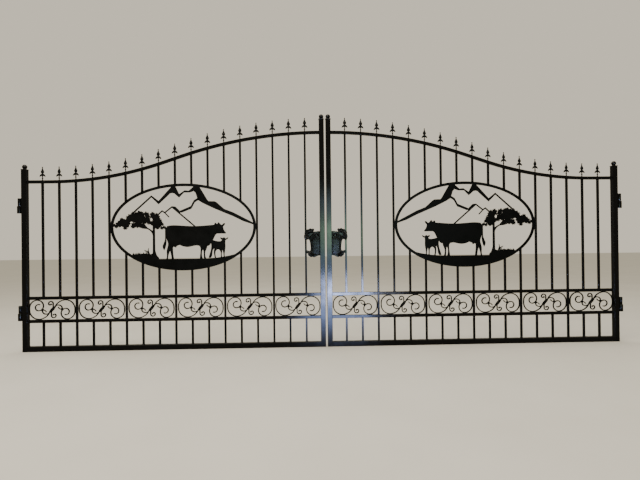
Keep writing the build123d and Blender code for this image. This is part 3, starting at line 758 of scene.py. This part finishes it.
for side, way in (("left", 1), ("right", -1)):
    low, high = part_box(side + "_farm_scene_plate")
    middle, half = (low + high) / 2, (high - low) / 2
    across, up = way * half.x / drawn_half_width, half.z / drawn_half_height
    tree = bmesh.new()
    front, back = ([tree.verts.new((middle.x + p.x * across, y, middle.z + p.y * up))
                    for p in sheet_points] for y in (low.y - proud, high.y + proud))
    for triangle in sheet_triangles:
        tree.faces.new([front[k] for k in triangle])
        tree.faces.new([back[k] for k in reversed(triangle)])
    for a, b in rim_runs:
        tree.faces.new((front[b], front[a], back[a], back[b]))
    bmesh.ops.recalc_face_normals(tree, faces=tree.faces)
    piece = new_piece(side + "_leafy_tree", tree, side + "_leaf", "cut_plate")
    piece.data.set_sharp_from_angle(angle=math.radians(40))
    print(piece.name, len(piece.data.polygons), "faces")

# %% [markdown]
# ## Cast lock plates
# A cast plate hides the lock on each meeting stile: a leafy crest, a curled leaf, a hatched
# field, a row of beads down the stile side and a lobed foot. Sculpting by hand would do, but a
# relief is easier to repeat as a height map: every point of the front knows its distance to a
# few drawn lines, and that distance says how far it stands up. The outline is read from CAD.

# %% Read the outline of the plate
def back_outline(node):
    """Corner points, in order, of the flat back of a plate that faces +Y."""
    mesh = bmesh.new()
    mesh.from_mesh(nodes[node].data)
    bmesh.ops.remove_doubles(mesh, verts=mesh.verts, dist=same_point)
    back = max(v.co.y for v in mesh.verts)
    flat = {f for f in mesh.faces if all(v.co.y > back - same_point for v in f.verts)}
    rim = [e for e in mesh.edges if sum(f in flat for f in e.link_faces) == 1]
    after = {}
    for edge in rim:
        for vert in edge.verts:
            after.setdefault(vert, []).append(edge.other_vert(vert))
    start = previous = rim[0].verts[0]
    vert = after[start][0]
    loop = [start.co.copy()]
    while vert is not start:
        loop.append(vert.co.copy())
        one, two = after[vert]
        previous, vert = vert, (two if one is previous else one)
    mesh.free()
    return loop


flat_outline = back_outline("left_lock_plate")
print("flat back", len(flat_outline), "points")

# %% Fill the outline
lock_low, lock_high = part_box("left_lock_plate")
lock_drawn_width = 161
lock_stretch = (lock_high.x - lock_low.x) / (lock_drawn_width * millimetre)
lock_depth = (lock_high.y - lock_low.y) / millimetre
# The waist is filled from one height to another, past a distance from the stile, and the notch
# from one distance to another, between two heights.
waist, waist_from, waist_fill = (66, 180), 80, 9
notch, notch_heights, notch_fill = (39, 63), (240, 262), 7


def fuller(u, w):
    """The cast rim stands a little fuller than the flat back at the waist and by the crest."""
    if u > waist_from and waist[0] < w < waist[1]:
        u += waist_fill * math.sin(math.pi * (w - waist[0]) / (waist[1] - waist[0]))
    if notch[0] < u < notch[1] and notch_heights[0] < w < notch_heights[1]:
        w += notch_fill * math.sin(math.pi * (u - notch[0]) / (notch[1] - notch[0]))
    return u, w


plate_rim = [fuller((lock_high.x - p.x) / millimetre / lock_stretch,
                    (p.z - lock_low.z) / millimetre) for p in flat_outline]
print("plate", round(max(w for u, w in plate_rim)), "mm high and", round(lock_depth), "mm deep")

# %% Lines that stand up from the plate
# Each line has its points, as distance from the stile and height in mm, its half width at both
# ends and how far it stands up.
curl_middle, curl_radius, curl_shrink = (34, 221), 24, 0.62
curl = [off(*curl_middle, math.radians(-60 + k * 24), curl_radius - k * curl_shrink)
        for k in range(28)]
# The curl, the back of the crest, the edge of the waist and the top of the foot.
raised_lines = [
    (curl, 4.2, 2.2, 4.5),
    ([(60, 247), (84, 262), (112, 258), (133, 238), (141, 212), (139, 190)], 5.5, 3.0, 5.0),
    ([(86, 64), (79, 84), (77, 104), (79, 132), (86, 156), (100, 176)], 3.5, 3.0, 4.0),
    ([(6, 30), (36, 26), (58, 34), (78, 48)], 3.0, 2.0, 3.0),
]
# The ribs of the crest, the strands of the curled leaf and the lobes of the foot.
leaf_root = (92, 224)
for tip in ((66, 279), (82, 283), (97, 286), (112, 279), (127, 273), (140, 260), (149, 244),
            (151, 226), (153, 208), (148, 193), (137, 183), (122, 186)):
    raised_lines.append(([tuple(a + 0.4 * (b - a) for a, b in zip(leaf_root, tip)), tip],
                         1.8, 5.0, 4.5))
for top, foot in (((66, 236), (36, 182)), ((76, 230), (52, 170)), ((86, 222), (66, 164)),
                  ((96, 214), (78, 160)), ((106, 206), (90, 168)), ((117, 199), (104, 180))):
    raised_lines.append(([top, foot], 3.8, 1.6, 4.0))
for foot in ((128, 54), (121, 36), (106, 22), (92, 13), (76, 15), (62, 12)):
    raised_lines.append(([(76, 58), foot], 2.0, 5.0, 4.0))
# The hatched field is a cushion with crossed grooves, and the beads stand down its stile side.
field_middle, field_reach, field_rise = (42, 112), (46, 88), 3.4
hatch_pitch, hatch_rise = 9, 0.5
bead_pitch, bead_radius, bead_line = 12, 3.6, 6.5
first_bead, bead_count = 34, 19
beads_up = [(bead_line, first_bead + bead_pitch * k) for k in range(bead_count)]
print("raised lines", len(raised_lines), "beads", len(beads_up))

# %% Height of the front at one point
# How thick the plate is at its rim and further in, and how wide the round edge between them is.
plate_edge, plate_body, edge_round = 2.6, 5.0, 3.0


def nearest_on(points, u, w):
    """Distance to a line of points, and how far along it the nearest place is, from 0 to 1."""
    best, share = 1e9, 0.0
    for k, ((a, b), (c, d)) in enumerate(zip(points, points[1:])):
        run = (c - a) ** 2 + (d - b) ** 2
        t = min(1.0, max(0.0, ((u - a) * (c - a) + (w - b) * (d - b)) / run))
        gap = math.hypot(u - a - t * (c - a), w - b - t * (d - b))
        if gap < best:
            best, share = gap, (k + t) / (len(points) - 1)
    return best, share


def front_height(u, w, from_rim):
    """How far the front stands over the flat back, in mm."""
    near_rim = min(1.0, from_rim / edge_round)
    ground = plate_edge + (plate_body - plate_edge) * math.sqrt(1 - (1 - near_rim) ** 2)
    across, along = (u - field_middle[0]) / field_reach[0], (w - field_middle[1]) / field_reach[1]
    rise = field_rise * max(0.0, 1 - (abs(across) ** 3 + abs(along) ** 3)) ** 0.6
    if rise:
        rise += hatch_rise * abs(math.sin(math.pi * (u + w) / hatch_pitch)
                                 * math.sin(math.pi * (u - w) / hatch_pitch))
    for points, first, last, height in raised_lines:
        gap, share = nearest_on(points, u, w)
        half = first + (last - first) * share
        if gap < half:
            rise = max(rise, height * math.cos(math.pi / 2 * gap / half) ** 0.8)
    for a, b in beads_up:
        gap = math.hypot(u - a, w - b)
        if gap < bead_radius:
            rise = max(rise, math.sqrt(bead_radius ** 2 - gap ** 2))
    return min(lock_depth, ground + rise * near_rim)


print("the field is", round(front_height(*field_middle, edge_round), 2), "mm thick")

# %% Mesh of the plate
grid_pitch, ring_radii, rim_steps, rim_gap = 2, (1.9, 3.5), 8, 0.7


def plate_points():
    """Points of the front: the rim, a ring of points round each bead, and a grid."""
    rim = KDTree(len(plate_rim) * rim_steps)
    for k, (a, b) in enumerate(plate_rim):
        c, d = plate_rim[(k + 1) % len(plate_rim)]
        for j in range(rim_steps):
            rim.insert((a + (c - a) * j / rim_steps, b + (d - b) * j / rim_steps, 0),
                       rim_steps * k + j)
    rim.balance()
    loose = list(beads_up)
    loose += [off(*bead, math.radians(45 * k), r)
              for bead in beads_up for r in ring_radii for k in range(8)]
    bead_column = bead_line + bead_radius + 1
    loose += [(u + (0.5 if row % 2 else 0), w) for row, w in
              ((row, grid_pitch * row + 1) for row in range(150))
              for u in range(1, lock_drawn_width + 2, grid_pitch)
              if u > bead_column or w > beads_up[-1][1] + 5 or w < first_bead - 5]
    inside = []
    for u, w in loose:
        crossings = 0
        for (a, b), (c, d) in zip(plate_rim, plate_rim[1:] + plate_rim[:1]):
            if (b > w) != (d > w) and u < a + (w - b) / (d - b) * (c - a):
                crossings += 1
        gap = rim.find((u, w, 0))[2]
        if crossings % 2 and gap > rim_gap:
            inside.append((u, w, front_height(u, w, gap)))
    return [(a, b, plate_edge) for a, b in plate_rim] + inside


front = plate_points()
rim_count = len(plate_rim)
flat_points = [Vector(p[:2]) for p in front]
rim_edges = [(k, (k + 1) % rim_count) for k in range(rim_count)]
mesh_points, _, triangles, from_point, _, _ = delaunay_2d_cdt(flat_points, rim_edges, [], 1, 1e-4)
print("plate front", len(mesh_points), "points", len(triangles), "triangles")

# %% Place the plates
for side, way in (("left", -1), ("right", 1)):
    low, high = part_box(side + "_lock_plate")
    stile_face = high.x if way < 0 else low.x
    relief = bmesh.new()

    def plate_vert(u, w, height):
        return relief.verts.new((stile_face + way * u * lock_stretch * millimetre,
                                 high.y - height * millimetre, low.z + w * millimetre))

    top = [plate_vert(p.x, p.y, front[source[0]][2] if source else plate_body)
           for p, source in zip(mesh_points, from_point)]
    for triangle in triangles:
        relief.faces.new([top[k] for k in triangle])
    foot = [plate_vert(p.x, p.y, 0) for p in mesh_points[:rim_count]]
    for a, b in rim_edges:
        relief.faces.new((top[a], top[b], foot[b], foot[a]))
    relief.faces.new(foot)
    bmesh.ops.recalc_face_normals(relief, faces=relief.faces)
    casting = new_piece(side + "_cast_lock_plate", relief, side + "_leaf", "casting")
    casting.data.set_sharp_from_angle(angle=math.radians(55))
    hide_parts(side + "_lock_plate")
    print(casting.name, len(casting.data.polygons), "faces")

# %% [markdown]
# ## Floor and light
# A pale floor and a pale sky surround the gate. It is glossy and black, so what shapes it is what
# it reflects. A studio shows black gloss against white by keeping the white out of the
# reflections: here the lens sees a bright backdrop, and the paint a dim room with one large soft
# light high in front. The meeting stiles and the bars next to them also mirror daylight: green at
# the height of the lock, blue below it, and nearly white further down. Soft cards give them that,
# each placed by following the line of sight from the lens to the stile and back out.

# %% Floor
floor_reach, floor_patch_mm = 30.0, 833
floor_mesh = bpy.data.meshes.new("floor")
floor_mesh.from_pydata([(x * floor_reach, y * floor_reach, 0) for x, y in
                        ((-1, -1), (1, -1), (1, 1), (-1, 1))], [], [(0, 1, 2, 3)])
floor = bpy.data.objects.new("floor", floor_mesh)
floor.location = (gate_middle_x, 0, gate_underside)
bpy.context.scene.collection.objects.link(floor)
floor_material, tree = new_material("pale_painted_floor")
patches = add_node(tree, "ShaderNodeTexNoise", {
    "Vector": add_node(tree, "ShaderNodeTexCoord").outputs["Object"],
    "Scale": per_metre(floor_patch_mm), "Detail": 5.0})
floor_shade = add_node(tree, "ShaderNodeMix", {
    "Factor": patches.outputs["Fac"], "A": linear("#d6d4cd"), "B": linear("#c9c6be")},
    data_type="RGBA")
finish_surface(tree, add_node(tree, "ShaderNodeBsdfPrincipled", {
    "Base Color": floor_shade.outputs["Result"], "Roughness": 0.9, "Specular IOR Level": 0.0}))
floor_mesh.materials.append(floor_material)
floor.visible_glossy = False
floor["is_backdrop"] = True
print("floor", 2 * floor_reach, "m wide,", floor_material.name)

# %% Backdrop and room
world = bpy.data.worlds.new("studio")
world.use_nodes = True
backdrop_strength, room_strength = 0.8, 0.16
seen_in_gloss = add_node(world.node_tree, "ShaderNodeLightPath").outputs["Is Glossy Ray"]
brightness = add_node(world.node_tree, "ShaderNodeMapRange", {
    "Value": seen_in_gloss, "To Min": backdrop_strength, "To Max": room_strength})
sky = world.node_tree.nodes["Background"]
sky.inputs["Color"].default_value = linear("#f8eed8")
world.node_tree.links.new(brightness.outputs["Result"], sky.inputs["Strength"])
bpy.context.scene.world = world
print("backdrop", backdrop_strength, "room", room_strength)

# %% Soft lights
def soft_light(name, place, target, width, height, brightness, colour):
    """Rectangular light of the given brightness, which the lens doesn't see."""
    data = bpy.data.lights.new(name, "AREA")
    data.shape = "RECTANGLE"
    data.size = width
    data.size_y = height
    data.energy = brightness * math.pi * width * height
    data.color = linear(colour)[:3]
    lamp = bpy.data.objects.new(name, data)
    lamp.location = place
    lamp.rotation_euler = (target - place).to_track_quat("-Z", "Y").to_euler()
    lamp.visible_camera = False
    bpy.context.scene.collection.objects.link(lamp)
    return lamp


def at(right, front, height):
    """A place given from the middle of the gate's foot, in metres."""
    return Vector((gate_middle_x + right, -front, gate_underside + height))


# Place, what the light faces, width, height, brightness and colour.
soft_light("high_softbox", at(-2.5, 4.5, 6), at(0, 0, 1), 6, 3, 6, "#fff6e8")
soft_light("top_softbox", at(0, -1, 6), at(0, 0, 0), 9, 4, 2, "#fffaf0")
soft_light("small_skylight", at(1.5, 3.5, 5), at(0, 0, 1), 0.3, 0.3, 60, "#fffdf6")

# %% Cards that the stiles mirror
# Each card reaches from and to a distance right of the gate's middle, and from and to a height,
# all in metres. Then come its brightness and its colour.
# The floor doesn't show in the reflections, so the lowest cards can hang below it.
card_distance = 9.0
mirrored_cards = {
    "upper_card": (0.2, 1.5, 1.7, 2.4, 6, "#a4bccb"),
    "green_card": (0.2, 1.5, 0.75, 1.7, 15, "#a6cdb2"),
    "blue_card": (-0.1, 1.5, 0.0, 0.75, 9, "#93b0d8"),
    "glare_card": (0.2, 1.65, -0.65, 0.0, 85, "#bccdff"),
    "rail_glare_card": (1.65, 2.5, -0.52, -0.36, 22, "#dde4ff"),
    "lavender_card": (-0.3, 1.65, -1.33, -0.65, 26, "#a9bff8"),
    "dusk_card": (-0.3, 1.65, -1.75, -1.33, 5, "#a9bae8"),
}
for name, (first, last, foot, top, brightness, colour) in mirrored_cards.items():
    place = at((first + last) / 2, card_distance, (foot + top) / 2)
    card = soft_light(name, place, place + Vector((0, 1, 0)), last - first, top - foot,
                      brightness, colour)
    card.visible_diffuse = False
print("cards", *mirrored_cards)

# %% Print the size of the model
low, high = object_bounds()
print("visual box", [round(v, 3) for v in (*low, *high)])
